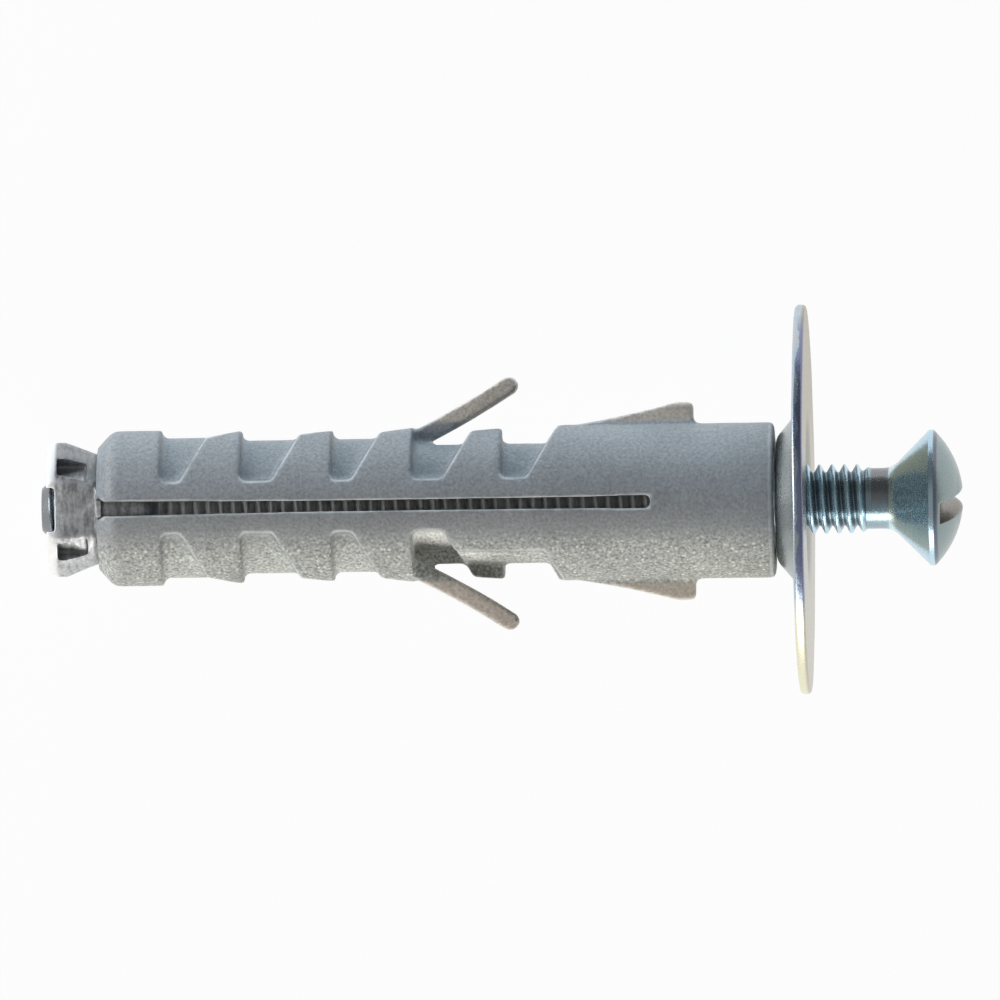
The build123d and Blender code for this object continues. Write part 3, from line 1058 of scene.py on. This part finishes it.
washerCorners = [standUp @ vertex.co for vertex in frame["nodes"]["cup_washer"].data.vertices]
washerMiddle = (min(spot.z for spot in washerCorners) + max(spot.z for spot in washerCorners)) / 2
cupTurn = radians(washer["flankAngle"])
lipX = washer["gap"] + washer["cupDepth"]
lipRadius = washer["cupRadius"] + washer["cupDepth"] * tan(cupTurn)
# the sheet keeps its thickness round the bends, so the head's side of the cup lies further in
innerDrop = washer["thickness"] * (1 - sin(cupTurn)) / cos(cupTurn)
section = [
    (washer["gap"], washer["holeRadius"]),
    (washer["gap"], washer["cupRadius"]),
    (lipX, lipRadius),
    (lipX, washer["radius"]),
    (lipX + washer["thickness"], washer["radius"]),
    (lipX + washer["thickness"], lipRadius - innerDrop),
    (washer["gap"] + washer["thickness"], washer["cupRadius"] - innerDrop),
    (washer["gap"] + washer["thickness"], washer["holeRadius"]),
]
bends = [
    washer["holeRound"],
    washer["floorBend"],
    washer["lipBend"],
    washer["rimRound"],
    washer["rimRound"],
    washer["lipBend"] + washer["thickness"],
    washer["floorBend"] - washer["thickness"],
    washer["holeRound"],
]
corners = roundedLine(section, bends, closed=True, step=9)
# long flat runs get more rings, so that the sheet can wave a little
sectionLine = []
for here, after in zip(corners, corners[1:] + corners[:1]):
    parts = max(1, round((after - here).length / washer["ringSpacing"]))
    for index in range(parts):
        sectionLine.append(here.lerp(after, index / parts))


def washerLayers(tree, place):
    # grey in the dish, painted warm light in cream at one side, straw on the side that faces the head
    # and a browner painted shade there at the other side, and a painted dark blue reflection along the
    # rim
    along, side, radius = place["Along"], place["Side"], place["Radius"]
    facesHead = spread(tree, along, *(lipX + reach for reach in washer["headSide"]))
    # the dark blue line on the rim is a painted dark reflection, with a wandering edge, left off the
    # key-lit side
    ragged = noise(tree, place["Place"], washer["shadeLineSize"])
    wander = spread(tree, ragged, 0.3, 0.7, *washer["shadeLineWander"])
    beyondShadeLine = maths(tree, "SUBTRACT", along, maths(tree, "ADD", wander, lipX + washer["shadeLinePast"]))
    pastShadeLine = spread(tree, beyondShadeLine, *washer["shadeLineEdge"])
    onRim = spread(tree, radius, *washer["shadeRimRadius"])
    rimShadePart = band(tree, side, *washer["shadeRimSide"])
    brownPart = spread(tree, side, *washer["brownSide"])
    layers = [
        (washer["dishColour"], [spread(tree, radius, *washer["dishRadius"]), washer["dishShare"]]),
        (washer["keyLitCreamColour"], [spread(tree, side, *washer["creamSide"]), washer["creamShare"]]),
        (washer["strawColour"], [facesHead, washer["strawShare"]]),
        (washer["brownShadeColour"], [facesHead, brownPart, washer["brownShare"]]),
        (washer["rimShadeColour"], [pastShadeLine, onRim, rimShadePart, washer["rimShadeShare"]]),
    ]
    return layers, None


washerZinc = makeBrightZinc("washerZinc", washer, washerLayers)
washerMesh = turnedMesh("washer_pressing", sectionLine, washer["stepsAround"], True, washerMiddle)
washerPiece = newObject("washer_pressing", washerMesh)
addTree(washerPiece, unevenSurface, {
    "Depth": washer["waveDepth"],
    "Size": washer["waveSize"],
    "Follow Normal": 0.0,
    "Push": (1.0, 0.0, 0.0),
    "Material": washerZinc,
})
settle(washerPiece)
dress(washerPiece, washerZinc, "cup_washer", "washer")
print("washer done")


# studio: white floor, a tall soft key on one side, a low fill on the other, a dim ceiling
studio = {
    "floorSize": 3.0,
    "floorColour": (0.9, 0.9, 0.9, 1),
    "floorGlow": 0.96,
    "worldLight": 0.047,
    "wallHeight": (0.02, 0.4),
    "horizon": 0.42,
    "ceiling": 0.28,
    "shadedFrom": (0.1, 0.6),
    "shadedSide": 0.4,
    "lightsAimAt": -15.0,
}
softboxes = {
    "key_softbox": {
        "place": (0.0, -0.45, 0.1),
        "size": (0.8, 0.3),
        "power": 2.9,
        "colour": (1.0, 0.98, 0.93),
        "mirrored": True,
    },
    "fill_softbox": {
        "place": (0.0, 0.45, 0.07),
        "size": (0.6, 0.12),
        "power": 1.96,
        "colour": (0.8, 0.92, 1.0),
        "mirrored": False,
    },
    "end_softbox": {
        "place": (-0.13, 0.03, 0.04),
        "size": (0.08, 0.06),
        "power": 0.09,
        "colour": (1.0, 1.0, 1.0),
        "mirrored": True,
    },
}


def emptyTree(owner):
    owner.use_nodes = True
    owner.node_tree.nodes.clear()
    return owner.node_tree


def sortRays(tree):
    # rays from the camera, and rays that a glossy or clear surface has sent on
    rays = addNode(tree, "ShaderNodeLightPath").outputs
    mirrored = maths(tree, "MAXIMUM", rays["Is Glossy Ray"], rays["Is Transmission Ray"])
    return rays["Is Camera Ray"], mirrored


def mixValue(tree, share, first, second):
    feeds = {0: share, 2: first, 3: second}
    return addNode(tree, "ShaderNodeMix", feeds, data_type="FLOAT").outputs[0]


floorMesh = bpy.data.meshes.new("studio_floor")
floorShape = bmesh.new()
bmesh.ops.create_grid(floorShape, x_segments=1, y_segments=1, size=studio["floorSize"])
floorShape.to_mesh(floorMesh)
floorShape.free()
floor = newObject("studio_floor", floorMesh)
paper = bpy.data.materials.new("studioPaper")
tree = emptyTree(paper)
matte = addNode(tree, "ShaderNodeBsdfDiffuse", {"Color": studio["floorColour"]}).outputs[0]
glow = addNode(tree, "ShaderNodeEmission", {"Color": (1, 1, 1, 1), "Strength": 1.0}).outputs[0]
lift = product(tree, maths(tree, "MAXIMUM", *sortRays(tree)), studio["floorGlow"])
paperLook = addNode(tree, "ShaderNodeMixShader", {0: lift, 1: matte, 2: glow}).outputs[0]
addNode(tree, "ShaderNodeOutputMaterial", {"Surface": paperLook})
floorMesh.materials.append(paper)

world = bpy.data.worlds.new("studioRoom")
scene.world = world
tree = emptyTree(world)
direction = addNode(tree, "ShaderNodeTexCoord").outputs["Generated"]
compass = addNode(tree, "ShaderNodeSeparateXYZ", {0: direction}).outputs
# the walls darken towards the ceiling, and the far side of the room is unlit
height = spread(tree, compass["Z"], *studio["wallHeight"], studio["horizon"], studio["ceiling"])
wall = product(tree, height, spread(tree, compass["Y"], *studio["shadedFrom"], 1.0, studio["shadedSide"]))
fromCamera, mirrored = sortRays(tree)
roomLight = mixValue(tree, mirrored, studio["worldLight"], wall)
roomFeeds = {"Color": (1, 1, 1, 1), "Strength": mixValue(tree, fromCamera, roomLight, 1.0)}
room = addNode(tree, "ShaderNodeBackground", roomFeeds).outputs[0]
addNode(tree, "ShaderNodeOutputWorld", {"Surface": room})

aim = layDown @ Vector((studio["lightsAimAt"], 0, 0))
for name, box in softboxes.items():
    lamp = bpy.data.lights.new(name, "AREA")
    lamp.shape = "RECTANGLE"
    lamp.size, lamp.size_y = box["size"]
    lamp.energy = box["power"]
    lamp.color = box["colour"]
    holder = bpy.data.objects.new(name, lamp)
    holder.location = box["place"]
    holder.rotation_mode = "QUATERNION"
    holder.rotation_quaternion = (aim - Vector(box["place"])).to_track_quat("-Z", "Y")
    holder.visible_camera = False
    holder.visible_glossy = box["mirrored"]
    scene.collection.objects.link(holder)
print("studio done")


# camera: looks down on the plug, a little from the head's side, from far off
camera = {
    "distance": 2.2,
    "frameWidth": 0.056,
    "sensor": 36.0,
    "nearest": 0.01,
    "farthest": 20.0,
    "yaw": 2.3,
    "roll": 0.8,
    "centreX": -15.45,
    "centreUp": 0.2,
}
viewAngle = lieAngle - radians(camera["yaw"])
towards = Vector((-sin(viewAngle), 0, cos(viewAngle)))
flatRight = Vector((cos(viewAngle), 0, sin(viewAngle)))
rollAngle = radians(camera["roll"])
pictureRight = flatRight * cos(rollAngle) - acrossPlug * sin(rollAngle)
pictureUp = acrossPlug * cos(rollAngle) + flatRight * sin(rollAngle)
target = layDown @ Vector((camera["centreX"], 0, 0)) + pictureUp * camera["centreUp"] * 0.001
lens = bpy.data.cameras.new("camera")
lens.sensor_width = camera["sensor"]
lens.lens = camera["sensor"] * camera["distance"] / camera["frameWidth"]
lens.clip_start = camera["nearest"]
lens.clip_end = camera["farthest"]
eye = bpy.data.objects.new("camera", lens)
eyeTurn = Matrix((pictureRight, pictureUp, towards)).transposed().to_4x4()
eye.matrix_world = Matrix.Translation(target + towards * camera["distance"]) @ eyeTurn
scene.collection.objects.link(eye)
scene.camera = eye
scene.view_settings.view_transform = "Standard"
print("camera done")
